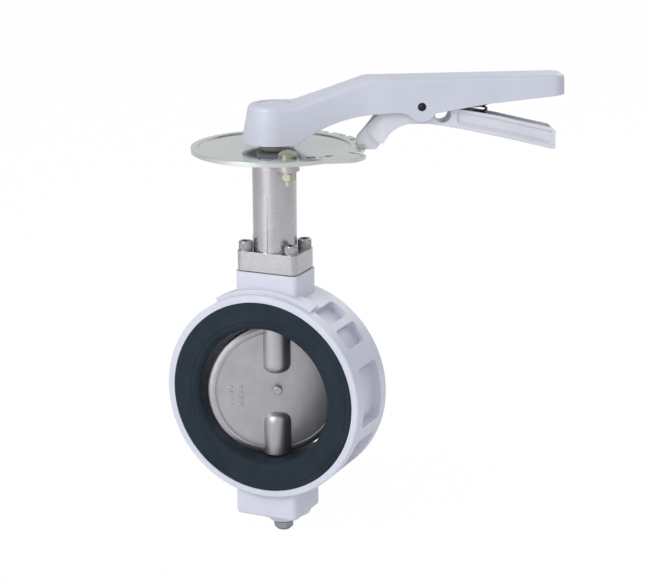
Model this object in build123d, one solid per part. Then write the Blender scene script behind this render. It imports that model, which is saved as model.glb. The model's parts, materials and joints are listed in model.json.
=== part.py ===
from build123d import *
import os
from math import acos, atan2, cos, hypot, radians, sin

# Wafer butterfly valve for a nominal 100 mm (4 inch) pipeline, in millimetres.
# Origin: where the pipe axis crosses the stem axis.  +Y runs along the pipe, +Z up the stem,
# and the lever points along +X when the disc is closed.  The valve is stored partly open.

os.makedirs("parts", exist_ok=True)

OPEN_ANGLE = 30.0            # disc and lever, turned from closed at rest

# waterway, rubber seat and body ring
BORE_R = 50.0
SEAT_FACE_Y = 27.0           # half length over the rubber faces
SEAT_STEP = 0.5              # the gasket band stands proud of the rest of the lip
SEAT_BAND_R = (56.0, 66.0)
SEAT_LIP_R = 70.0
SEAT_BACK_R = 58.0
LIP_BACK_Y = 23.5
BODY_FACE_Y = 25.6
RIM_R = 75.3
POCKET_HALF_Y = 15.0
POCKET_FLOOR_R = 69.3
POCKETS = [(49.0, 60.5), (32.5, 44.5), (-13.0, 20.5), (-42.0, -22.0), (-58.5, -46.5)]

# stem and its bearings
STEM_R = 7.0
RUNNING_GAP = 0.05
BUSH_R = 10.0

# neck block on the body, bonnet flange and column
NECK_X = 24.4
NECK_Y = 17.0
BLOCK_CORNER = 4.5
NECK_TOP_Z = 89.3
GASKET_T = 0.8
FLANGE_Z = NECK_TOP_Z + GASKET_T
FLANGE_T = 14.0
FLANGE_X = 23.4
FLANGE_Y = 16.5
FLANGE_TOP_Z = FLANGE_Z + FLANGE_T
COLUMN_R = 15.6
COLUMN_BORE_R = 8.5
RIB_TOP_Z = 146.0
BOLT_X = 17.8
BOLT_Y = 11.2
BOLT_R = 2.95
BOLT_HEAD_R = 5.0
BOLT_HEAD_H = 5.6
SPRING_WASHER_T = 1.2

# notch plate and the column's top pad that carries it
PLATE_Z = 175.5
PLATE_T = 3.0
PLATE_TOP_Z = PLATE_Z + PLATE_T
PLATE_R = 58.6
TOOTH_R = 64.2
STOP_R = 71.4
SLOT_ROOT_R = 57.6
SLOT_W = 5.0
SLOT_STEP = 15.0
PAD_T = 7.5
SCREW_PITCH_R = 34.0
SCREW_ANGLE = -48.0
SCREW_R = 2.95
SCREW_HEAD_R = 7.0
PLATE_RECESS_R = 54.0
PLATE_RECESS = 0.8
WASHER_T = 1.6

# bottom boss and plug
BASE_X = 24.4
BASE_Y = 21.5
BASE_Z = -93.0
BOSS_Z = -100.0
PLUG_X = 4.4                 # the plug stands off the stem axis
PLUG_Z = -107.6
PLUG_R = 4.95
SEAL_T = 1.2

# disc
DISC_R = 49.65
DISC_FACE_T = 3.6            # half thickness of the flat of the disc
DISC_BOSS_R = 10.5
DISC_BOSS_END = 48.4
UPPER_BOSS_Z = 12.2
LOWER_BOSS_Z = 17.5          # the lower boss starts this far below the centre

# lever, in its own plane: s runs out along the lever, z up
HUB_Z = 182.2
HUB_TOP_Z = 209.0
HUB_R = 22.7
HUB_TOP_R = 17.6
HUB_SLOPE = (HUB_R - HUB_TOP_R) / (HUB_TOP_Z - HUB_Z)
ARM_TOP_Z = 226.5
ARM_END = 206.9
ARM_BEND_S = 64.5
ARM_HALF_W = 13.2
ARM_END_R = 9.5
ARM_EDGE_R = 3.6
SHOULDER_S = 14.5            # where the flat hub starts to rise towards the arm
BEND_R = 14.0
ARM_SLOPE = 0.035            # the arm's side walls draw in this much per mm of height
WALL = 2.7
ROOF = 3.2
PIVOT = (103.1, 206.0)
PIN_R = 3.0
PIN_LUG_R = 10.7

# trigger
TRIGGER_HALF_W = 8.8
NOSE_HALF_W = 2.1
TROUGH_HALF_W = 7.1
PANEL_DEPTH = 0.9
HOLE_R = 5.7

# trigger spring
SPRING_S = 145.0
SPRING_Z = (192.2, 222.3)
SPRING_R = 5.9
SPRING_TURNS = 8
WIRE_R = 0.8


def cyl_z(radius, z0, z1, x=0.0, y=0.0):
    return Pos(x, y, (z0 + z1) / 2) * Cylinder(radius, z1 - z0)


def cyl_y(radius, y0, y1, x=0.0, z=0.0):
    return Pos(x, (y0 + y1) / 2, z) * Rot(90, 0, 0) * Cylinder(radius, abs(y1 - y0))


def tube_z(outer, inner, z0, z1, x=0.0, y=0.0):
    return cyl_z(outer, z0, z1, x, y) - cyl_z(inner, z0 - 1, z1 + 1, x, y)


def block(x0, x1, y0, y1, z0, z1):
    return Pos((x0 + x1) / 2, (y0 + y1) / 2, (z0 + z1) / 2) * Box(x1 - x0, y1 - y0, z1 - z0)


def pillar(half_x, half_y, corner, z0, z1):
    """Upright block with rounded corners."""
    outline = RectangleRounded(2 * half_x, 2 * half_y, corner)
    return Pos(0, 0, z0) * extrude(outline, z1 - z0)


def hex_prism(across_flats, z0, z1, x=0.0, y=0.0, turn=0.0):
    outline = RegularPolygon(across_flats / 2, 6, major_radius=False, rotation=turn)
    return Pos(x, y, z0) * extrude(outline, z1 - z0)


def turned(points, axis=Axis.Y):
    """Solid of revolution from a closed outline of (radius, height) points."""
    if axis == Axis.Y:
        outline = make_face(Polyline(points, close=True))
    else:
        outline = make_face(Polyline([(r, 0, h) for r, h in points], close=True))
    return revolve(outline, axis=axis)


def side_plate(points, half_width):
    """Outline drawn in the lever's own plane (s, z), given a width across it."""
    outline = make_face(Polyline([(s, 0, z) for s, z in points], close=True))
    return extrude(outline, half_width, dir=(0, 1, 0), both=True)


def save(node, *solids):
    shape = Compound(children=[s for item in solids for s in item.solids()])
    export_step(shape, f"parts/{node}.step")
    count = len(shape.solids())
    print(f"{node:24s} {count:3d} solids {sum(s.volume for s in shape.solids()):10.0f} mm3")


# ---------------------------------------------------------------- body and seat

def ring_blank():
    """Body ring: two full-diameter rims with a recess for the seat's lip at each face."""
    bevel = 0.8
    half = [(SEAT_LIP_R + 0.2, LIP_BACK_Y), (SEAT_LIP_R + 0.2, BODY_FACE_Y),
            (RIM_R - bevel, BODY_FACE_Y), (RIM_R, BODY_FACE_Y - bevel), (RIM_R, POCKET_HALF_Y)]
    front = [(r, -y) for r, y in reversed(half)]
    return turned([(SEAT_BACK_R + 0.1, LIP_BACK_Y)] + half + front + [(SEAT_BACK_R + 0.1, -LIP_BACK_Y)])


def pocket(start, end):
    """Die-cast weight-saving pocket in the rim, between two angles in the XZ plane."""
    top = RIM_R + 8
    outline = make_face(Polyline(
        [(POCKET_FLOOR_R, -POCKET_HALF_Y), (top, -POCKET_HALF_Y - 1.2),
         (top, POCKET_HALF_Y + 1.2), (POCKET_FLOOR_R, POCKET_HALF_Y)], close=True))
    cutter = Rot(0, -end, 0) * revolve(outline, axis=Axis.Y, revolution_arc=end - start)
    straight = [e for e in cutter.edges() if e.geom_type == GeomType.LINE]
    radial = [e for e in straight if abs((e @ 0).length - (e @ 1).length) > 5]
    return fillet(radial, 3.5)


def base_boss():
    """Boss for the plug, swept out from the base block with an ogee flank."""
    flank = [(9.4, BOSS_Z), (10.4, BOSS_Z + 0.5), (13.0, BOSS_Z + 3.2), (16.5, BASE_Z - 1.8),
             (20.0, BASE_Z - 0.3)]
    return turned([(0, BOSS_Z)] + flank + [(20.0, BASE_Z + 6), (0, BASE_Z + 6)], Axis.Z)


def body():
    ring = ring_blank()
    for start, end in POCKETS:
        ring -= pocket(start, end)
        ring -= pocket(180 - end, 180 - start)
    saddle = Rot(0, -119, 0) * revolve(
        make_face(Polyline([(RIM_R - 3, -21), (78.2, -20), (78.2, -9), (RIM_R - 3, -8)], close=True)),
        axis=Axis.Y, revolution_arc=58)
    neck = pillar(NECK_X, NECK_Y, BLOCK_CORNER, 55.0, NECK_TOP_Z)
    base = pillar(BASE_X, BASE_Y, BLOCK_CORNER, BASE_Z, -55.0)
    base = fillet(base.faces().sort_by(Axis.Z)[0].edges(), 2.5)
    solid = ring + saddle + neck + base + Pos(PLUG_X, 0, 0) * base_boss()
    solid -= cyl_y(SEAT_BACK_R + 0.1, -40, 40)
    solid -= cyl_y(SEAT_LIP_R + 0.2, LIP_BACK_Y, 40) + cyl_y(SEAT_LIP_R + 0.2, -40, -LIP_BACK_Y)
    solid -= cyl_z(BUSH_R, 50, 83.5) + cyl_z(9.5, 83, NECK_TOP_Z + 1)
    solid -= cyl_z(BUSH_R, -86.0, -50) + cyl_z(PLUG_R + 0.05, BOSS_Z - 1, -80, PLUG_X)
    for x in (-BOLT_X, BOLT_X):
        for y in (-BOLT_Y, BOLT_Y):
            solid -= cyl_z(BOLT_R + 0.1, NECK_TOP_Z - 14, NECK_TOP_Z + 1, x, y)
    return solid


def seat_liner():
    """Moulded rubber seat: waterway tube with a lip over each body face."""
    low = SEAT_FACE_Y - SEAT_STEP
    inner, outer = SEAT_BAND_R
    half = [(BORE_R, 22.0), (51.0, 24.5), (53.5, low), (inner, low), (inner + SEAT_STEP, SEAT_FACE_Y),
            (outer - SEAT_STEP, SEAT_FACE_Y), (outer, low), (SEAT_LIP_R - 1.0, low),
            (SEAT_LIP_R, low - 1.0), (SEAT_LIP_R, LIP_BACK_Y), (SEAT_BACK_R, LIP_BACK_Y)]
    front = [(r, -y) for r, y in reversed(half)]
    liner = turned(half + front)
    return liner - cyl_z(STEM_R + 2 * RUNNING_GAP, -80, 80)


# ---------------------------------------------------------------- neck column

def screw_spots():
    a = radians(SCREW_ANGLE)
    x, y = SCREW_PITCH_R * cos(a), SCREW_PITCH_R * sin(a)
    return [(x, y), (-x, -y)]


def neck():
    """Stainless bonnet: foot flange, column, seam rib and the pad for the notch plate."""
    foot = pillar(FLANGE_X, FLANGE_Y, BLOCK_CORNER, FLANGE_Z, FLANGE_TOP_Z)
    column = cyl_z(COLUMN_R, FLANGE_Z + 2, PLATE_Z)
    outline = Circle(COLUMN_R)
    for x, y in screw_spots():
        outline += Pos(x, y) * Circle(8.0)
    pad = Pos(0, 0, PLATE_Z - PAD_T) * extrude(make_hull(outline.edges()), PAD_T)
    shape = foot + column + pad
    for side in (-1, 1):
        inner, foot_y, low = side * 12.0, side * 16.4, FLANGE_TOP_Z - 3
        corners_yz = [(inner, low), (inner, RIB_TOP_Z), (side * COLUMN_R, RIB_TOP_Z), (foot_y, low)]
        rib = make_face(Polyline([(0, y, z) for y, z in corners_yz], close=True))
        shape += extrude(rib, 1.6, dir=(1, 0, 0), both=True)
    shape -= cyl_z(COLUMN_BORE_R, FLANGE_Z - 1, PLATE_Z + 1)
    shape -= cyl_z(BUSH_R, 158.0, PLATE_Z + 1)
    for x in (-BOLT_X, BOLT_X):
        for y in (-BOLT_Y, BOLT_Y):
            shape -= cyl_z(BOLT_R + 0.3, FLANGE_Z - 1, FLANGE_TOP_Z + 1, x, y)
    for x, y in screw_spots():
        shape -= cyl_z(SCREW_R + 0.3, PLATE_Z - PAD_T - 1, PLATE_Z + 1, x, y)
    return shape


def neck_gasket():
    sheet = pillar(FLANGE_X - 0.4, FLANGE_Y - 0.4, 5.0, NECK_TOP_Z, FLANGE_Z)
    sheet -= cyl_z(9.5, NECK_TOP_Z - 1, FLANGE_Z + 1)
    for x in (-BOLT_X, BOLT_X):
        for y in (-BOLT_Y, BOLT_Y):
            sheet -= cyl_z(BOLT_R + 0.3, NECK_TOP_Z - 1, FLANGE_Z + 1, x, y)
    return sheet


def neck_bolt(x, y):
    """Socket-head cap screw standing on its spring washer."""
    seat = FLANGE_TOP_Z + SPRING_WASHER_T
    top = seat + BOLT_HEAD_H
    head = cyl_z(BOLT_HEAD_R, seat, top, x, y)
    head = fillet(head.faces().sort_by(Axis.Z)[-1].edges(), 0.9)
    head -= hex_prism(5.0, top - 3.0, top + 1.0, x, y)
    return head + cyl_z(BOLT_R, NECK_TOP_Z - 12.5, seat + 1, x, y)


def spring_washer(x, y):
    """Split spring washer under a cap screw."""
    ring = tube_z(BOLT_HEAD_R - 0.1, BOLT_R + 0.2, FLANGE_TOP_Z, FLANGE_TOP_Z + SPRING_WASHER_T, x, y)
    return ring - Pos(x + 4.5, y, FLANGE_TOP_Z) * Rot(0, 0, 20) * Box(4, 0.6, 3)


def bush(z0, z1, flange_top=None):
    sleeve = tube_z(BUSH_R, STEM_R + RUNNING_GAP, z0, z1)
    if flange_top is not None:
        sleeve += tube_z(BUSH_R, STEM_R + RUNNING_GAP, z1, flange_top)
    return sleeve


def stem_o_ring(z):
    section = 1.2
    return Pos(0, 0, z) * Torus(STEM_R + RUNNING_GAP + section, section)


# ---------------------------------------------------------------- notch plate

def stop_ear():
    """Ear beside the closed notch that the trigger's nose stops against."""
    flank = SLOT_W / 2
    points = [(48, -32.0), (55.5, -26.4), (66.8, -20.0), (70.6, -14.5), (STOP_R, -8.0), (STOP_R, -flank),
              (48, -flank)]
    return make_face(Polyline(points, close=True))


def notch_plate():
    tooth_arc = Circle(TOOTH_R) & Pos(TOOTH_R, TOOTH_R) * Rectangle(2 * TOOTH_R, 2 * TOOTH_R)
    ear = stop_ear()
    far_ear = mirror(ear, about=Plane((0, 0, 0), z_dir=(1, -1, 0)))
    outline = Circle(PLATE_R) + tooth_arc + ear + far_ear
    plate = Pos(0, 0, PLATE_Z) * extrude(outline, PLATE_T)
    slots = int(90 / SLOT_STEP) + 1
    for i in range(slots):
        cutter = block(SLOT_ROOT_R, STOP_R + 5, -SLOT_W / 2, SLOT_W / 2, PLATE_Z - 1, PLATE_TOP_Z + 1)
        cutter = fillet(cutter.edges().filter_by(Axis.Z).sort_by(Axis.X)[:2], 1.0)
        plate -= Rot(0, 0, i * SLOT_STEP) * cutter
    plate -= cyl_z(PLATE_RECESS_R, PLATE_TOP_Z - PLATE_RECESS, PLATE_TOP_Z + 1)
    plate -= cyl_z(BUSH_R + 0.5, PLATE_Z - 1, PLATE_TOP_Z + 1)
    for x, y in screw_spots():
        plate -= cyl_z(SCREW_R + 0.3, PLATE_Z - 1, PLATE_TOP_Z + 1, x, y)
    return plate


def plate_screw(x, y):
    """Domed screw through the plate and the column's pad, standing on a washer."""
    seat = PLATE_TOP_Z - PLATE_RECESS + WASHER_T
    rise = 3.0
    sphere_r = (SCREW_HEAD_R ** 2 + rise ** 2) / (2 * rise)
    ball = Pos(x, y, seat + rise - sphere_r) * Sphere(sphere_r)
    dome = ball & cyl_z(SCREW_HEAD_R, seat, seat + rise, x, y)
    return dome + cyl_z(SCREW_R, 157.2, seat + 1, x, y)


def plate_washer(x, y):
    low = PLATE_TOP_Z - PLATE_RECESS
    return tube_z(SCREW_HEAD_R, SCREW_R + 0.2, low, low + WASHER_T, x, y)


def nut_washer(x, y):
    top = PLATE_Z - PAD_T
    return tube_z(6.0, SCREW_R + 0.2, top - WASHER_T, top, x, y)


def plate_nut(x, y):
    top = PLATE_Z - PAD_T - WASHER_T
    nut = hex_prism(10.4, top - 5.2, top, x, y, 8) & turned_nut_chamfer(5.8, top - 5.2, top, x, y)
    return nut - cyl_z(SCREW_R + 0.05, top - 8, top + 1, x, y)


def turned_nut_chamfer(radius, z0, z1, x, y):
    """Round blank with bevelled ends, which trims a hexagon's corners."""
    blank = cyl_z(radius, z0, z1, x, y)
    return chamfer(blank.edges().filter_by(GeomType.CIRCLE), 0.7)


# ---------------------------------------------------------------- bottom end

def bottom_plug():
    top = BOSS_Z - SEAL_T
    head = hex_prism(12.6, PLUG_Z, top, PLUG_X, 0, 10)
    trim = turned([(0, PLUG_Z), (4.9, PLUG_Z), (7.4, PLUG_Z + 2.6), (7.4, top), (0, top)], Axis.Z)
    return (head & Pos(PLUG_X, 0, 0) * trim) + cyl_z(PLUG_R, top - 0.3, -88.0, PLUG_X)


# ---------------------------------------------------------------- disc and stems

def disc():
    half = [(0, DISC_FACE_T), (43.3, DISC_FACE_T), (43.6, DISC_FACE_T - 0.7), (44.4, DISC_FACE_T - 0.7),
            (44.8, DISC_FACE_T), (46.6, DISC_FACE_T - 0.2), (49.0, 2.4), (DISC_R, 1.2)]
    plate = turned(half + [(r, -y) for r, y in reversed(half)])
    for start, turn in ((UPPER_BOSS_Z, 0), (LOWER_BOSS_Z, 180)):
        boss = cyl_z(DISC_BOSS_R, start, DISC_BOSS_END)
        plate += Rot(turn, 0, 0) * fillet(boss.faces().sort_by(Axis.Z)[0].edges(), 7.0)
    button = cyl_y(3.3, -8.2, 8.2)
    plate += chamfer(button.faces().filter_by(Axis.Y).edges(), 0.5)
    plate -= block(-5.0, 5.0, -5.0, 5.0, 19.0, 39.0)
    plate -= cyl_z(STEM_R + 0.02, 38.0, DISC_BOSS_END + 1)
    plate -= cyl_z(STEM_R + 0.02, -DISC_BOSS_END - 1, -LOWER_BOSS_Z - 6)
    for sign in (-1, 1):
        plate -= Pos(0, 0, sign * (DISC_BOSS_END + 2)) * Cylinder(DISC_BOSS_R, 4)
    return Rot(0, 0, OPEN_ANGLE) * plate


def upper_stem():
    """Drive stem: square tang in the disc, round through the neck, square top in the lever."""
    tang = block(-4.95, 4.95, -4.95, 4.95, 19.5, 40.0)
    shank = cyl_z(STEM_R, 39.2, 181.0)
    top = block(-4.9, 4.9, -4.9, 4.9, 180.0, 200.0)
    stem = tang + shank + top
    stem -= tube_z(STEM_R + 1, 6.4, 179.2, 180.4)
    stem -= cyl_z(2.55, 184.0, 201.0)
    return Rot(0, 0, OPEN_ANGLE) * stem


def lower_stem():
    stem = cyl_z(STEM_R, -85.7, -LOWER_BOSS_Z - 6.5)
    return chamfer(stem.faces().filter_by(Axis.Z).edges(), 0.8)


def retaining_ring():
    ring = tube_z(9.6, 6.45, 179.25, 180.35)
    return Rot(0, 0, 200) * (ring - block(0, 12, -2.2, 2.2, 178, 182))


# ---------------------------------------------------------------- lever

def lever_plan(z, shrink=0.0):
    """Lever from above at one height: the arm's sides leave the hub's circle on its tangents."""
    rise = z - HUB_Z
    hub_r = HUB_R - HUB_SLOPE * rise - shrink
    half = ARM_HALF_W - ARM_SLOPE * rise - shrink
    end = ARM_END - ARM_SLOPE * rise - shrink
    tangent = atan2(half, ARM_BEND_S) + acos(hub_r / hypot(ARM_BEND_S, half))
    left = (hub_r * cos(tangent), hub_r * sin(tangent))
    right = (left[0], -left[1])
    sides = Polyline([left, (ARM_BEND_S, half), (end, half), (end, -half), (ARM_BEND_S, -half), right])
    plan = make_face([sides, ThreePointArc(right, (-hub_r, 0), left)])
    plan = fillet(plan.vertices().sort_by(Axis.X)[-2:], ARM_END_R - shrink)
    bends = [v for v in plan.vertices() if abs(v.X - ARM_BEND_S) < 0.1]
    return Pos(0, 0, z) * fillet(bends, 60.0)


def lever_outer(shrink=0.0):
    return loft([lever_plan(HUB_Z, shrink), lever_plan(ARM_TOP_Z + 1, shrink)], ruled=True)


def in_side_view(*edges):
    """Face drawn as (s, z), stood up in the lever's own plane."""
    return Rot(90, 0, 0) * make_face(list(edges))


def lever_profile():
    """Side view of the lever: flat hub, sloping shoulder, level grip and arched underside."""
    far = ARM_END + 5
    top = Polyline([(far, ARM_TOP_Z), (ARM_BEND_S, ARM_TOP_Z), (SHOULDER_S, HUB_TOP_Z),
                    (-30, HUB_TOP_Z), (-30, HUB_Z), (15.0, HUB_Z), (17.5, 184.6)])
    arch = ThreePointArc((17.5, 184.6), (39.5, 195.6), (64.0, 201.0))
    grip = Polyline([(64.0, 201.0), (87.3, 202.2), (93.2, 200.6), (113.7, 201.3), (124.6, 203.1),
                     (151.5, 207.2), (far, 212.8), (far, ARM_TOP_Z)])
    face = make_face([top, arch, grip])
    for corner in ((SHOULDER_S, HUB_TOP_Z), (ARM_BEND_S, ARM_TOP_Z)):
        face = fillet(min(face.vertices(), key=lambda v: hypot(v.X - corner[0], v.Y - corner[1])), BEND_R)
    return extrude(Rot(90, 0, 0) * face, 40, dir=(0, 1, 0), both=True)


def top_rim(shape):
    """Edges around the lever's top, where the top faces meet the walls."""
    tops = [f for f in shape.faces() if f.normal_at().Z > 0.5]
    edges = [e for f in tops for e in f.edges()]
    return [e for e in edges if sum(e.is_same(other) for other in edges) == 1]


def lever():
    s, z = PIVOT
    shape = lever_outer() & lever_profile()
    shape = fillet(top_rim(shape), ARM_EDGE_R)
    shape += cyl_y(PIN_LUG_R, -ARM_HALF_W, ARM_HALF_W, s, z) & lever_outer()
    hollow = side_plate([(25.0, 180.0), (25.0, HUB_TOP_Z), (ARM_BEND_S, ARM_TOP_Z - ROOF),
                         (ARM_END, ARM_TOP_Z - ROOF), (ARM_END, 180.0)], 40)
    shape -= hollow & lever_outer(WALL)
    skirt = Pos(0, 0, HUB_Z + 9.0) * Cone(HUB_R - 3.2, HUB_R - 6.2, 20.0)
    shape -= skirt - cyl_z(12.5, HUB_Z - 5, HUB_TOP_Z)
    shape += cyl_z(12.5, 181.2, HUB_Z + 2)
    shape -= block(-4.95, 4.95, -4.95, 4.95, 180.0, 201.2)
    shape -= cyl_z(11.6, 201.0, HUB_TOP_Z + 5)
    for side in (-1, 1):
        shape += cyl_y(6.0, 10.2 * side, (ARM_HALF_W - 0.9) * side, s, z)
    shape -= cyl_y(PIN_R + 0.02, -20, 20, s, z)
    return Rot(0, 0, OPEN_ANGLE) * shape


def trigger_pin():
    """Rolled spring pin: a slit tube."""
    s, z = PIVOT
    length = 12.3
    pin = cyl_y(PIN_R, -length, length, s, z) - cyl_y(1.7, -20, 20, s, z)
    pin -= block(s - 0.3, s + 0.3, -20, 20, z, z + 5)
    return Rot(0, 0, OPEN_ANGLE) * pin


def lever_washer():
    return tube_z(9.0, 3.3, 201.2, 202.6)


def lever_bolt():
    bolt = hex_prism(10.0, 202.6, 206.4, 0, 0, OPEN_ANGLE)
    return bolt + cyl_z(2.5, 186.0, 203.0)


def hub_cap():
    """Push-in cap over the lever bolt, very slightly domed."""
    lid = tube_z(11.5, 9.6, 203.0, 207.2) + cyl_z(11.5, 207.0, 208.6)
    dome = Pos(0, 0, 209.4 - 74) * Sphere(74) & cyl_z(11.5, 208.0, 212.0)
    return lid + dome


# ---------------------------------------------------------------- trigger

UNDERSIDE = [(199.0, 173.2), (195.8, 173.4), (177.8, 178.1), (156.7, 183.3), (135.8, 188.1)]
TOPSIDE = [(128.3, 203.4), (141.8, 201.0), (156.5, 198.0), (177.5, 192.8), (196.5, 188.2), (199.0, 186.0)]


def lifted(points, height):
    return [(s, z + height) for s, z in points]


def trigger_blank():
    """Rocking arm and grip in side view, at the grip's full width."""
    rise = Polyline([(64.6, 188.0), (72.8, 180.0), (76.4, 180.0)])
    bend = ThreePointArc((76.4, 180.0), (83.4, 188.9), (94.1, 193.5))
    under = Polyline([(94.1, 193.5), (108.6, 193.3), (119.0, 191.4)] + UNDERSIDE[::-1])
    neck_end = [(113.4, 203.4), (109.0, 213.0), (97.0, 213.4), (79.0, 207.0), (63.2, 189.4), (64.6, 188.0)]
    back = Polyline([UNDERSIDE[0]] + TOPSIDE[::-1] + neck_end)
    return extrude(in_side_view(rise, bend, under, back), TRIGGER_HALF_W, dir=(0, 1, 0), both=True)


def trigger_nose():
    """Thin locking nose that drops into a notch of the plate."""
    return side_plate([(58.4, 174.8), (58.4, 180.7), (58.9, 184.4), (66.0, 192.5), (78.0, 190.0),
                       (79.4, 184.9), (74.9, 178.3), (72.0, 174.8)], NOSE_HALF_W)


def trigger_plan():
    """Trigger from above: full width, tapering to the nose in front of the plate."""
    half = TRIGGER_HALF_W
    side = [(56, NOSE_HALF_W), (65.4, NOSE_HALF_W), (77, half), (205, half)]
    outline = Polyline(side + [(x, -y) for x, y in reversed(side)], close=True)
    return Pos(0, 0, 165) * extrude(make_face(outline), 60)


def trigger():
    s, z = PIVOT
    shape = trigger_blank() & trigger_plan()
    shape += trigger_nose()
    shape -= cyl_y(HOLE_R, -20, 20, 118.7, 199.4)
    shape -= side_plate([(129.0, 194.6), (156.7, 187.8), (177.8, 182.4), (196.5, 177.6), (196.5, 200.0),
                         (129.0, 210.0)], TROUGH_HALF_W)
    panel_top = [p for p in lifted(TOPSIDE, -2.4) if p[0] < 197]
    panel_foot = [p for p in lifted(UNDERSIDE, 4.3) if p[0] < 197]
    panel = side_plate([(128.8, 194.0), (128.8, 200.9)] + panel_top[1:] + panel_foot, PANEL_DEPTH)
    for side in (-1, 1):
        shape -= Pos(0, side * TRIGGER_HALF_W, 0) * panel
    shape += side_plate(UNDERSIDE + [(128.8, 189.6)] + [(128.8, 192.6)] + lifted(UNDERSIDE, 3.0)[::-1],
                        TRIGGER_HALF_W + 0.5)
    shape += cyl_y(6.6, -9.3, 9.3, s, z)
    shape -= cyl_y(PIN_R + RUNNING_GAP, -20, 20, s, z)
    return Rot(0, 0, OPEN_ANGLE) * shape


def trigger_spring():
    """Compression spring between the grip's trough and the roof of the lever."""
    z0, z1 = SPRING_Z
    path = Pos(SPRING_S, 0, z0) * Helix(pitch=(z1 - z0) / SPRING_TURNS, height=z1 - z0, radius=SPRING_R)
    section = Plane(origin=path @ 0, z_dir=path % 0) * Circle(WIRE_R)
    return Rot(0, 0, OPEN_ANGLE) * sweep(section, path=path)


def corners(maker):
    return [maker(x, y) for x in (-BOLT_X, BOLT_X) for y in (-BOLT_Y, BOLT_Y)]


save("body", body())
save("seat_liner", seat_liner())
save("neck", neck())
save("neck_gasket", neck_gasket())
save("neck_bolts", *corners(neck_bolt))
save("neck_spring_washers", *corners(spring_washer))
save("upper_bush", bush(60.0, 83.2))
save("lower_bush", bush(-85.5, -60.0))
save("neck_top_bush", bush(159.0, PLATE_TOP_Z + 0.4))
save("stem_o_rings", stem_o_ring(84.9), stem_o_ring(87.8))
save("notch_plate", notch_plate())
save("plate_screws", *[plate_screw(x, y) for x, y in screw_spots()])
save("plate_washers", *[plate_washer(x, y) for x, y in screw_spots()])
save("nut_washers", *[nut_washer(x, y) for x, y in screw_spots()])
save("plate_nuts", *[plate_nut(x, y) for x, y in screw_spots()])
save("bottom_plug", bottom_plug())
save("bottom_washer", tube_z(8.0, PLUG_R + 0.15, BOSS_Z - SEAL_T, BOSS_Z, PLUG_X))
save("disc", disc())
save("upper_stem", upper_stem())
save("lower_stem", lower_stem())
save("retaining_ring", retaining_ring())
save("lever", lever())
save("lever_washer", lever_washer())
save("lever_bolt", lever_bolt())
save("hub_cap", hub_cap())
save("trigger_pin", trigger_pin())
save("trigger", trigger())
save("trigger_spring", trigger_spring())
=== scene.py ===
import json
from math import cos, pi, radians, sin

import bmesh
import bpy
from mathutils import Matrix, Vector


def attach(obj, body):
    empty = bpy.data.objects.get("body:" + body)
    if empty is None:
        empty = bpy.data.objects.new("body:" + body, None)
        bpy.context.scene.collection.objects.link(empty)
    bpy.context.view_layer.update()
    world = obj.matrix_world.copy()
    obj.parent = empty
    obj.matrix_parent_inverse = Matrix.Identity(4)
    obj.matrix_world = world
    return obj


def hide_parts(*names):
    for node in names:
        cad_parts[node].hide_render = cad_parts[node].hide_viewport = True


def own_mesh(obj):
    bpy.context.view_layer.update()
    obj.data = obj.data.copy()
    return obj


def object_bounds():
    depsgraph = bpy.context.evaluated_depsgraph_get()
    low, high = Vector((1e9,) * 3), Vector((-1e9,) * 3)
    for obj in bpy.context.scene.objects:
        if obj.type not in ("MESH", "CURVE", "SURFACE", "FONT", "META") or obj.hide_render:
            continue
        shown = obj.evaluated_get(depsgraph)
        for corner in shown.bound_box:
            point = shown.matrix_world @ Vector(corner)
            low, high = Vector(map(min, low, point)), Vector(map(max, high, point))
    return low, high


# Wafer butterfly valve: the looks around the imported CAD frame.  All lengths are metres.

MM = 0.001
OPEN_ANGLE = radians(30.0)       # lever and disc at rest, turned from closed

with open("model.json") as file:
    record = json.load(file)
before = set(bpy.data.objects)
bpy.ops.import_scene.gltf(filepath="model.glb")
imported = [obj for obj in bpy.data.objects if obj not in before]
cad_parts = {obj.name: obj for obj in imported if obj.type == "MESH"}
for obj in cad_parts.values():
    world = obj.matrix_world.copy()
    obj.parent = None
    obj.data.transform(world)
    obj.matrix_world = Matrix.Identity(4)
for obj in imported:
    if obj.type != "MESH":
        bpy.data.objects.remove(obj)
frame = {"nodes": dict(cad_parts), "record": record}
cad_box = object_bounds()
nodes = frame["nodes"]


# ---------------------------------------------------------------- material helpers

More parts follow.
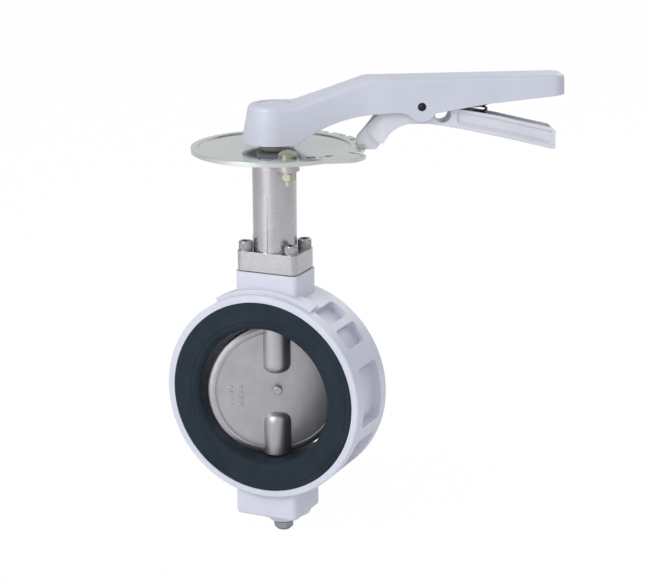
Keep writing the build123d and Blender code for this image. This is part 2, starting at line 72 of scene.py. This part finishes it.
class Shader:
    """A Principled material with short calls for the texture nodes that feed it."""

    def __init__(self, name):
        self.material = bpy.data.materials.new(name)
        self.material.use_nodes = True
        self.tree = self.material.node_tree
        self.surface = self.tree.nodes["Principled BSDF"]
        self.place = self.add("ShaderNodeTexCoord").outputs["Object"]

    def add(self, kind, **settings):
        node = self.tree.nodes.new(kind)
        for key, value in settings.items():
            setattr(node, key, value)
        return node

    def link(self, out, socket):
        self.tree.links.new(out, socket)

    def feed(self, name, out):
        self.link(out, self.surface.inputs[name])

    def fixed(self, **values):
        for key, value in values.items():
            self.surface.inputs[key.replace("_", " ")].default_value = value

    def stretched(self, scale):
        mapping = self.add("ShaderNodeMapping")
        mapping.inputs["Scale"].default_value = scale
        self.link(self.place, mapping.inputs["Vector"])
        return mapping.outputs["Vector"]

    def noise(self, scale, detail=3.0, roughness=0.5, stretch=None):
        node = self.add("ShaderNodeTexNoise")
        node.inputs["Scale"].default_value = scale
        node.inputs["Detail"].default_value = detail
        node.inputs["Roughness"].default_value = roughness
        self.link(self.stretched(stretch) if stretch else self.place, node.inputs["Vector"])
        return node.outputs["Fac"]

    def spread(self, value, low, high, start=0.3, end=0.7):
        """Maps a 0-1 texture value onto low-high."""
        node = self.add("ShaderNodeMapRange")
        for key, number in (("From Min", start), ("From Max", end), ("To Min", low), ("To Max", high)):
            node.inputs[key].default_value = number
        self.link(value, node.inputs["Value"])
        return node.outputs["Result"]

    def mixed(self, share, first, second):
        """Blends two colours, each a tuple or another node's output."""
        node = self.add("ShaderNodeMix", data_type="RGBA")
        self.link(share, node.inputs["Factor"])
        for key, value in (("A", first), ("B", second)):
            socket = [s for s in node.inputs if s.name == key and s.type == "RGBA"][0]
            if isinstance(value, tuple):
                socket.default_value = (*value, 1.0)
            else:
                self.link(value, socket)
        return [s for s in node.outputs if s.type == "RGBA"][0]

    def math(self, operation, first, second=0.0):
        node = self.add("ShaderNodeMath", operation=operation)
        for socket, value in zip(node.inputs, (first, second)):
            if isinstance(value, (int, float)):
                socket.default_value = value
            else:
                self.link(value, socket)
        return node.outputs["Value"]

    def rounded_edges(self, radius):
        """Normal of the surface with its sharp edges eased by a small radius."""
        node = self.add("ShaderNodeBevel", samples=6)
        node.inputs["Radius"].default_value = radius
        return node.outputs["Normal"]

    def edge_mask(self, radius, gain=3.0):
        """1 along convex and concave edges, 0 on open surfaces."""
        geometry = self.add("ShaderNodeNewGeometry")
        dot = self.add("ShaderNodeVectorMath", operation="DOT_PRODUCT")
        self.link(self.rounded_edges(radius), dot.inputs[0])
        self.link(geometry.outputs["Normal"], dot.inputs[1])
        bent = self.math("SUBTRACT", 1.0, dot.outputs["Value"])
        scaled = self.math("MULTIPLY", bent, gain)
        return self.math("MINIMUM", scaled, 1.0)

    def bump(self, height, distance, strength=1.0, normal=None):
        node = self.add("ShaderNodeBump")
        node.inputs["Distance"].default_value = distance
        node.inputs["Strength"].default_value = strength
        self.link(height, node.inputs["Height"])
        if normal is not None:
            self.link(normal, node.inputs["Normal"])
        return node.outputs["Normal"]


def paint(name, light, dark, roughness, peel=0.00006, wear=0.25):
    """Sprayed satin enamel on a casting: orange peel, mottled gloss and rubbed edges."""
    s = Shader(name)
    broad = s.noise(28.0, 2.0)
    colour = s.mixed(s.spread(broad, 0.0, 1.0), light, dark)
    specks = s.spread(s.noise(1400.0, 2.0), 0.0, 0.35, 0.60, 0.78)
    colour = s.mixed(specks, colour, tuple(c * 0.8 for c in dark))
    rubbed = s.math("MULTIPLY", s.edge_mask(0.0009), s.spread(s.noise(260.0), 0.0, wear, 0.45, 0.65))
    colour = s.mixed(rubbed, colour, tuple(min(1.0, c * 1.25) for c in light))
    s.feed("Base Color", colour)
    s.feed("Roughness", s.spread(s.noise(90.0), roughness - 0.06, roughness + 0.08))
    fine = s.bump(s.noise(520.0, 3.0), peel, 0.55, s.rounded_edges(0.0006))
    s.feed("Normal", s.bump(s.noise(45.0, 2.0), peel * 4, 0.35, fine))
    s.fixed(Specular_IOR_Level=0.5, Coat_Weight=0.12, Coat_Roughness=0.25)
    return s.material


def metal(name, light, dark, roughness, grain=600.0, depth=0.00003, stretch=None, scratch=0.0):
    """Bare metal: a grain in the height, colour and gloss, stretched where it was brushed."""
    s = Shader(name)
    s.feed("Base Color", s.mixed(s.spread(s.noise(60.0, 4.0, 0.6), 0.0, 1.0), light, dark))
    grain_value = s.noise(grain, 4.0, 0.6, stretch)
    s.feed("Roughness", s.spread(grain_value, roughness - 0.02, roughness + 0.04))
    normal = s.bump(grain_value, depth, 0.6, s.rounded_edges(0.0003))
    if scratch:
        lines = s.spread(s.noise(900.0, 2.0, 0.5, (1.0, 1.0, 0.04)), 0.0, 1.0, 0.55, 0.75)
        normal = s.bump(lines, scratch, 0.5, normal)
    s.feed("Normal", normal)
    s.fixed(Metallic=1.0)
    return s.material


def seat_rubber():
    """Moulded EPDM: fine turned rings from the mould, a dusty bloom and a few flow marks."""
    s = Shader("seat_rubber")
    bloom = s.spread(s.noise(34.0, 5.0, 0.65), 0.0, 1.0, 0.35, 0.7)
    s.feed("Base Color", s.mixed(bloom, (0.014, 0.023, 0.031), (0.022, 0.032, 0.042)))
    s.feed("Roughness", s.spread(s.noise(120.0, 3.0), 0.55, 0.7))
    flat = s.add("ShaderNodeVectorMath", operation="MULTIPLY")
    flat.inputs[1].default_value = (1.0, 0.0, 1.0)
    s.link(s.place, flat.inputs[0])
    radius = s.add("ShaderNodeVectorMath", operation="LENGTH")
    s.link(flat.outputs["Vector"], radius.inputs[0])
    rings = s.math("SINE", s.math("MULTIPLY", radius.outputs["Value"], 2 * pi / 0.0021))
    normal = s.bump(rings, 0.00004, 0.35, s.rounded_edges(0.0006))
    s.feed("Normal", s.bump(s.noise(700.0, 3.0), 0.00004, 0.5, normal))
    s.fixed(Specular_IOR_Level=0.1)
    return s.material


def zinc_plate():
    """Pale chromate over polished steel: bright, faintly green, with cloudy patches."""
    s = Shader("plated_plate")
    cloud = s.spread(s.noise(24.0, 3.0), 0.0, 1.0, 0.3, 0.7)
    s.feed("Base Color", s.mixed(cloud, (0.56, 0.60, 0.57), (0.61, 0.63, 0.57)))
    s.feed("Roughness", s.spread(s.noise(120.0, 3.0), 0.09, 0.15))
    s.feed("Normal", s.bump(s.noise(40.0, 2.0), 0.00002, 0.2, s.rounded_edges(0.0003)))
    s.fixed(Metallic=0.85)
    return s.material


def yellow_zinc():
    s = Shader("yellow_zinc")
    cloud = s.spread(s.noise(220.0, 3.0), 0.0, 1.0, 0.35, 0.65)
    s.feed("Base Color", s.mixed(cloud, (0.50, 0.48, 0.38), (0.44, 0.43, 0.36)))
    s.feed("Roughness", s.spread(s.noise(500.0), 0.25, 0.4))
    s.feed("Normal", s.bump(s.noise(420.0), 0.00003, 0.4, s.rounded_edges(0.0003)))
    s.fixed(Metallic=0.9)
    return s.material


def dull(name, light, dark, roughness):
    """Plain rubber, sheet or polymer with a fine moulded texture."""
    s = Shader(name)
    s.feed("Base Color", s.mixed(s.spread(s.noise(300.0), 0.0, 1.0), light, dark))
    s.feed("Roughness", s.spread(s.noise(150.0), roughness - 0.06, roughness + 0.06))
    s.feed("Normal", s.bump(s.noise(900.0), 0.00003, 0.5))
    return s.material


MATERIALS = {
    "body_paint": paint("body_paint", (0.58, 0.595, 0.675), (0.54, 0.555, 0.64), 0.42),
    "lever_paint": paint("lever_paint", (0.53, 0.55, 0.625), (0.50, 0.52, 0.595), 0.38, 0.00005),
    "trigger_paint": paint("trigger_paint", (0.60, 0.615, 0.665), (0.56, 0.575, 0.625), 0.45, 0.00008),
    "seat_rubber": seat_rubber(),
    "cast_stainless": metal("cast_stainless", (0.50, 0.485, 0.50), (0.43, 0.42, 0.435), 0.27, 420.0,
                            0.000006),
    "bolt_stainless": metal("bolt_stainless", (0.40, 0.41, 0.42), (0.33, 0.34, 0.35), 0.34, 500.0, 0.00002),
    "disc_stainless": metal("disc_stainless", (0.47, 0.46, 0.48), (0.40, 0.395, 0.415), 0.42, 420.0, 0.00003,
                            (1.0, 1.0, 0.15), 0.00001),
    "stem_stainless": metal("stem_stainless", (0.64, 0.63, 0.62), (0.55, 0.55, 0.55), 0.22, 800.0, 0.00001,
                            (0.1, 0.1, 1.0)),
    "plated_plate": zinc_plate(),
    "yellow_zinc": yellow_zinc(),
    "spring_steel": metal("spring_steel", (0.05, 0.05, 0.055), (0.03, 0.03, 0.034), 0.35, 600.0, 0.00002),
    "gasket_sheet": dull("gasket_sheet", (0.10, 0.10, 0.10), (0.14, 0.14, 0.14), 0.8),
    "o_ring_rubber": dull("o_ring_rubber", (0.02, 0.02, 0.02), (0.03, 0.03, 0.03), 0.5),
    "bearing_polymer": dull("bearing_polymer", (0.74, 0.72, 0.66), (0.68, 0.66, 0.60), 0.5),
}


def dress(obj, slot):
    """Gives a piece or a CAD node the finish of a record slot."""
    obj.data.materials.clear()
    obj.data.materials.append(MATERIALS[slot])


for part in frame["record"]["subparts"]:
    dress(nodes[part["node"]], part["material_slot"])


# ---------------------------------------------------------------- detail pieces

def around(radius, count, z, x=0.0, y=0.0, shape=None):
    """One ring of points; shape(angle) may vary the radius."""
    points = []
    for i in range(count):
        angle = 2 * pi * i / count
        r = shape(angle) if shape else radius
        points.append(Vector((x + r * cos(angle), y + r * sin(angle), z)))
    return points


def skin(bm, rings, looped=False):
    """Solid through rings of equally many points: capped at both ends, or joined last to first."""
    stack = [[bm.verts.new(point) for point in ring] for ring in rings]
    following = stack[1:] + stack[:1] if looped else stack[1:]
    for low, high in zip(stack, following):
        for i in range(len(low)):
            j = (i + 1) % len(low)
            bm.faces.new((low[i], low[j], high[j], high[i]))
    if not looped:
        bm.faces.new(stack[0])
        bm.faces.new(stack[-1])


def piece(name, bm, slot_name, body, replaced=None, smooth=35.0):
    bmesh.ops.recalc_face_normals(bm, faces=bm.faces)
    mesh = bpy.data.meshes.new(name)
    bm.to_mesh(mesh)
    bm.free()
    mesh.shade_smooth()
    mesh.set_sharp_from_angle(angle=radians(smooth))
    obj = bpy.data.objects.new(name, mesh)
    bpy.context.scene.collection.objects.link(obj)
    dress(obj, slot_name)
    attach(obj, body)
    if replaced:
        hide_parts(replaced)
    return obj


BOLT_XY = (17.8 * MM, 11.2 * MM)
BOLT_SEAT_Z = 105.3 * MM
BOLT_TOP_Z = 110.9 * MM
BOLT_TIP_Z = 76.8 * MM
HEAD_R = 4.95 * MM
SHANK_R = 2.93 * MM
KNURL_R = 4.97 * MM
KNURL_DEPTH = 0.3 * MM
SOCKET_AF = 5.0 * MM             # across the flats of the hexagon socket
SOCKET_LEAD_IN = 0.3 * MM
SOCKET_DEPTH = 3.0 * MM
TEETH = 36


def knurl(radius, depth):
    return lambda angle: radius - depth * (0.5 - 0.5 * cos(TEETH * angle))


def hexagon(across_flats):
    return lambda angle: across_flats / 2 / cos((angle % (pi / 3)) - pi / 6)


def cap_screw(bm, x, y):
    """Socket-head cap screw with a knurled head."""
    count = TEETH * 4
    seat, top = BOLT_SEAT_Z, BOLT_TOP_Z
    plain = [(2.4 * MM, BOLT_TIP_Z), (SHANK_R, BOLT_TIP_Z + 0.6 * MM), (SHANK_R, seat), (4.6 * MM, seat),
             (HEAD_R, seat + 0.35 * MM)]
    crown = [(HEAD_R, top - 1.1 * MM), (4.8 * MM, top - 0.45 * MM), (4.45 * MM, top - 0.1 * MM),
             (4.1 * MM, top), (3.3 * MM, top)]
    rings = [around(r, count, z, x, y) for r, z in plain]
    for z in (seat + 0.6 * MM, top - 1.5 * MM):
        rings.append(around(0, count, z, x, y, knurl(KNURL_R, KNURL_DEPTH)))
    rings += [around(r, count, z, x, y) for r, z in crown]
    socket = ((SOCKET_AF + SOCKET_LEAD_IN, top), (SOCKET_AF, top - 0.2 * MM), (SOCKET_AF, top - SOCKET_DEPTH))
    for across_flats, z in socket:
        rings.append(around(0, count, z, x, y, hexagon(across_flats)))
    rings.append(around(0.3 * MM, count, top - SOCKET_DEPTH - 0.6 * MM, x, y))
    skin(bm, rings)


def neck_screws():
    bm = bmesh.new()
    for x in (-BOLT_XY[0], BOLT_XY[0]):
        for y in (-BOLT_XY[1], BOLT_XY[1]):
            cap_screw(bm, x, y)
    piece("cap_screws", bm, "bolt_stainless", "valve_body", "neck_bolts")


SPRING_S = 145.0 * MM
SPRING_Z = (192.25 * MM, 222.25 * MM)
SPRING_R = 5.85 * MM
WIRE_R = 0.8 * MM
SPRING_TURNS = 9
CLOSED_PITCH = 1.7 * MM


def spring_height(turn):
    """Height of the wire after so many turns; the first and last turns lie closed."""
    low, high = SPRING_Z
    open_pitch = (high - low - 2 * CLOSED_PITCH) / (SPRING_TURNS - 2)
    rise = min(turn, 1.0) * CLOSED_PITCH + max(0.0, min(turn, SPRING_TURNS - 1) - 1.0) * open_pitch
    return low + rise + max(0.0, turn - SPRING_TURNS + 1) * CLOSED_PITCH


def trigger_spring():
    """Black compression spring with closed end turns."""
    steps, sides = 40, 14
    centre = Vector((SPRING_S * cos(OPEN_ANGLE), SPRING_S * sin(OPEN_ANGLE), 0.0))
    rings = []
    for i in range(SPRING_TURNS * steps + 1):
        turn = i / steps
        angle = 2 * pi * turn
        out = Vector((cos(angle), sin(angle), 0.0))
        wire = centre + out * SPRING_R + Vector((0.0, 0.0, spring_height(turn)))
        rings.append([wire + WIRE_R * (cos(a) * out + sin(a) * Vector((0.0, 0.0, 1.0)))
                      for a in (2 * pi * k / sides for k in range(sides))])
    bm = bmesh.new()
    skin(bm, rings)
    spring = piece("coil", bm, "spring_steel", "disc_and_lever", "trigger_spring", 60.0)
    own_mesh(spring)


def rounded_bar(bm, place, across, up, width, height, depth, toward):
    """Raised rounded bar on a flat face: width and height in the face, depth out of it."""
    outline = []
    corner = min(width, height) * 0.45
    for cx, cy, start in ((1, 1, 0), (-1, 1, 90), (-1, -1, 180), (1, -1, 270)):
        for k in range(5):
            a = radians(start + 22.5 * k)
            u = cx * (width / 2 - corner) + corner * cos(a)
            v = cy * (height / 2 - corner) + corner * sin(a)
            outline.append((u, v))
    rings = []
    for scale, lift in ((1.0, -0.1 * depth), (0.97, 0.7 * depth), (0.85, depth)):
        rings.append([place + across * u * scale + up * v * scale + toward * lift for u, v in outline])
    skin(bm, rings)


DISC_FACE_Y = 3.6 * MM
DISC_MARK_X = (-33.8, -26.6)     # two upright rows of blank cast marks on the left of the disc
DISC_MARK_Z = (-10.4, -6.0, -1.6, 2.8)


MARK_SIZE = (3.6 * MM, 2.3 * MM)
MARK_DEPTH = 0.5 * MM


def disc_marks():
    """Blank cast marks on the disc."""
    across = Vector((cos(OPEN_ANGLE), sin(OPEN_ANGLE), 0.0))
    toward = Vector((sin(OPEN_ANGLE), -cos(OPEN_ANGLE), 0.0))
    up = Vector((0.0, 0.0, 1.0))
    bm = bmesh.new()
    for x in DISC_MARK_X:
        for z in DISC_MARK_Z:
            place = across * x * MM + up * z * MM + toward * DISC_FACE_Y
            rounded_bar(bm, place, across, up, *MARK_SIZE, MARK_DEPTH, toward)
    piece("disc_marks", bm, "disc_stainless", "disc_and_lever")


PLATE_FLOOR_Z = 177.7 * MM
SCALE_START = (29.4, -33.0)
SCALE_TURN = radians(39.0)
SCALE_SIZE = 7.4 * MM
RING_SPOT = (13.0 * MM, -40.4 * MM)
RING_R = 4.85 * MM
RING_WIDTH = 0.9 * MM
RING_POINTS = 64
INK_DEPTH = 0.05 * MM


def plate_scale():
    """Plain degree numbers printed on the notch plate, and a stamped ring beside them."""
    curve = bpy.data.curves.new("scale_numbers", "FONT")
    curve.body = "0 - 45 - 90"
    curve.size = SCALE_SIZE
    curve.extrude = 0.02 * MM
    curve.offset = 0.25 * MM
    curve.resolution_u = 3
    text = bpy.data.objects.new("scale_text", curve)
    bpy.context.scene.collection.objects.link(text)
    text.location = (SCALE_START[0] * MM, SCALE_START[1] * MM, PLATE_FLOOR_Z + 0.02 * MM)
    text.rotation_euler = (0.0, 0.0, SCALE_TURN)
    bpy.context.view_layer.update()
    bm = bmesh.new()
    source = bpy.data.meshes.new_from_object(text.evaluated_get(bpy.context.evaluated_depsgraph_get()))
    source.transform(text.matrix_world)
    bm.from_mesh(source)
    bpy.data.objects.remove(text)
    x, y = RING_SPOT
    z = PLATE_FLOOR_Z
    outer, inner = RING_R, RING_R - RING_WIDTH
    section = ((outer, z), (outer, z + INK_DEPTH), (inner, z + INK_DEPTH), (inner, z))
    skin(bm, [around(radius, RING_POINTS, height, x, y) for radius, height in section], looped=True)
    piece("plate_scale", bm, "o_ring_rubber", "valve_body")


neck_screws()
trigger_spring()
disc_marks()
plate_scale()


# ---------------------------------------------------------------- camera, floor and light

CAMERA_AZIMUTH = radians(24.31)
CAMERA_HEIGHT = radians(15.49)
CAMERA_ROLL = radians(-0.31)
CAMERA_DISTANCE = 1.54687
CAMERA_AIM = (0.03493, 0.06984)      # aim point's offset from the origin, across and up the view
CAMERA_LENS = 118.3                  # on a 36 mm sensor


def photo_camera():
    back = Vector((sin(CAMERA_AZIMUTH) * cos(CAMERA_HEIGHT), -cos(CAMERA_AZIMUTH) * cos(CAMERA_HEIGHT),
                   sin(CAMERA_HEIGHT)))
    right = Vector((cos(CAMERA_AZIMUTH), sin(CAMERA_AZIMUTH), 0.0))
    up = back.cross(right)
    eye = right * CAMERA_AIM[0] + up * CAMERA_AIM[1] + back * CAMERA_DISTANCE
    across = cos(CAMERA_ROLL) * right + sin(CAMERA_ROLL) * up
    upward = cos(CAMERA_ROLL) * up - sin(CAMERA_ROLL) * right
    camera = bpy.data.objects.new("camera", bpy.data.cameras.new("camera"))
    camera.data.sensor_width = 36.0
    camera.data.lens = CAMERA_LENS
    camera.matrix_world = Matrix.Translation(eye) @ Matrix((across, upward, back)).transposed().to_4x4()
    bpy.context.scene.collection.objects.link(camera)
    bpy.context.scene.camera = camera


FLOOR_VEIL = 0.985                # how far the floor fades into the white backdrop for the camera


def floor():
    bpy.ops.mesh.primitive_circle_add(vertices=96, radius=6.0, fill_type="NGON",
                                      location=(0.0, 0.0, cad_box[0][2] - 0.0002))
    plane = bpy.context.object
    plane.name = "floor"
    s = Shader("floor_white")
    s.feed("Base Color", s.mixed(s.noise(3.0), (0.93, 0.93, 0.93), (0.95, 0.95, 0.95)))
    s.fixed(Roughness=0.9, Specular_IOR_Level=0.1)
    clear = s.add("ShaderNodeBsdfTransparent")
    path = s.add("ShaderNodeLightPath")
    veil = s.math("MULTIPLY", path.outputs["Is Camera Ray"], FLOOR_VEIL)
    blend = s.add("ShaderNodeMixShader")
    s.link(veil, blend.inputs["Fac"])
    s.link(s.surface.outputs["BSDF"], blend.inputs[1])
    s.link(clear.outputs["BSDF"], blend.inputs[2])
    s.link(blend.outputs["Shader"], s.tree.nodes["Material Output"].inputs["Surface"])
    plane.data.materials.append(s.material)


def softbox(name, place, target, size, power, colour=(1.0, 1.0, 1.0)):
    lamp = bpy.data.lights.new(name, "AREA")
    lamp.shape = "RECTANGLE"
    lamp.size, lamp.size_y = size
    lamp.energy = power
    lamp.color = colour
    obj = bpy.data.objects.new(name, lamp)
    obj.location = place
    obj.rotation_euler = (Vector(target) - Vector(place)).to_track_quat("-Z", "Y").to_euler()
    bpy.context.scene.collection.objects.link(obj)


SKY_BRIGHT_ENDS = (0.34, -0.74, 0.0)     # bright before and behind the valve, dim at its sides
SKY_RISE = (-0.10, 0.0, 0.35)


def sky_dot(tree, coords, direction):
    node = tree.nodes.new("ShaderNodeVectorMath")
    node.operation = "DOT_PRODUCT"
    node.inputs[1].default_value = direction
    tree.links.new(coords.outputs["Generated"], node.inputs[0])
    return node.outputs["Value"]


def sky_math(tree, operation, first, second=None):
    node = tree.nodes.new("ShaderNodeMath")
    node.operation = operation
    tree.links.new(first, node.inputs[0])
    if second is not None:
        tree.links.new(second, node.inputs[1])
    return node.outputs["Value"]


def sky():
    """Pale studio, plain white where the camera sees it."""
    world = bpy.data.worlds.new("studio")
    world.use_nodes = True
    tree = world.node_tree
    shine = tree.nodes["Background"]
    coords = tree.nodes.new("ShaderNodeTexCoord")
    ramp = tree.nodes.new("ShaderNodeValToRGB")
    level = sky_math(tree, "ADD", sky_math(tree, "ABSOLUTE", sky_dot(tree, coords, SKY_BRIGHT_ENDS)),
                     sky_dot(tree, coords, SKY_RISE))
    tree.links.new(level, ramp.inputs["Fac"])
    ramp.color_ramp.elements[0].color = (0.14, 0.145, 0.16, 1.0)
    ramp.color_ramp.elements[0].position = 0.0
    ramp.color_ramp.elements[1].color = (0.95, 0.96, 1.0, 1.0)
    ramp.color_ramp.elements[1].position = 0.8
    tree.links.new(ramp.outputs["Color"], shine.inputs["Color"])
    shine.inputs["Strength"].default_value = 0.75
    seen = tree.nodes.new("ShaderNodeBackground")
    seen.inputs["Color"].default_value = (1.0, 1.0, 1.0, 1.0)
    path = tree.nodes.new("ShaderNodeLightPath")
    mix = tree.nodes.new("ShaderNodeMixShader")
    tree.links.new(path.outputs["Is Camera Ray"], mix.inputs["Fac"])
    tree.links.new(shine.outputs["Background"], mix.inputs[1])
    tree.links.new(seen.outputs["Background"], mix.inputs[2])
    tree.links.new(mix.outputs["Shader"], tree.nodes["World Output"].inputs["Surface"])
    bpy.context.scene.world = world


MIDDLE = (0.03, 0.0, 0.06)
photo_camera()
floor()
sky()
softbox("key_light", (-0.55, -1.3, 1.15), MIDDLE, (0.8, 0.8), 15.5)
softbox("front_fill", (-0.5, -1.6, 0.1), MIDDLE, (1.2, 0.8), 4.0)
softbox("right_fill", (1.3, -0.5, 1.3), MIDDLE, (0.9, 0.9), 5.0)
softbox("back_light", (0.4, 1.3, 1.0), MIDDLE, (1.4, 0.8), 7.0)
bpy.context.scene.view_settings.view_transform = "Standard"
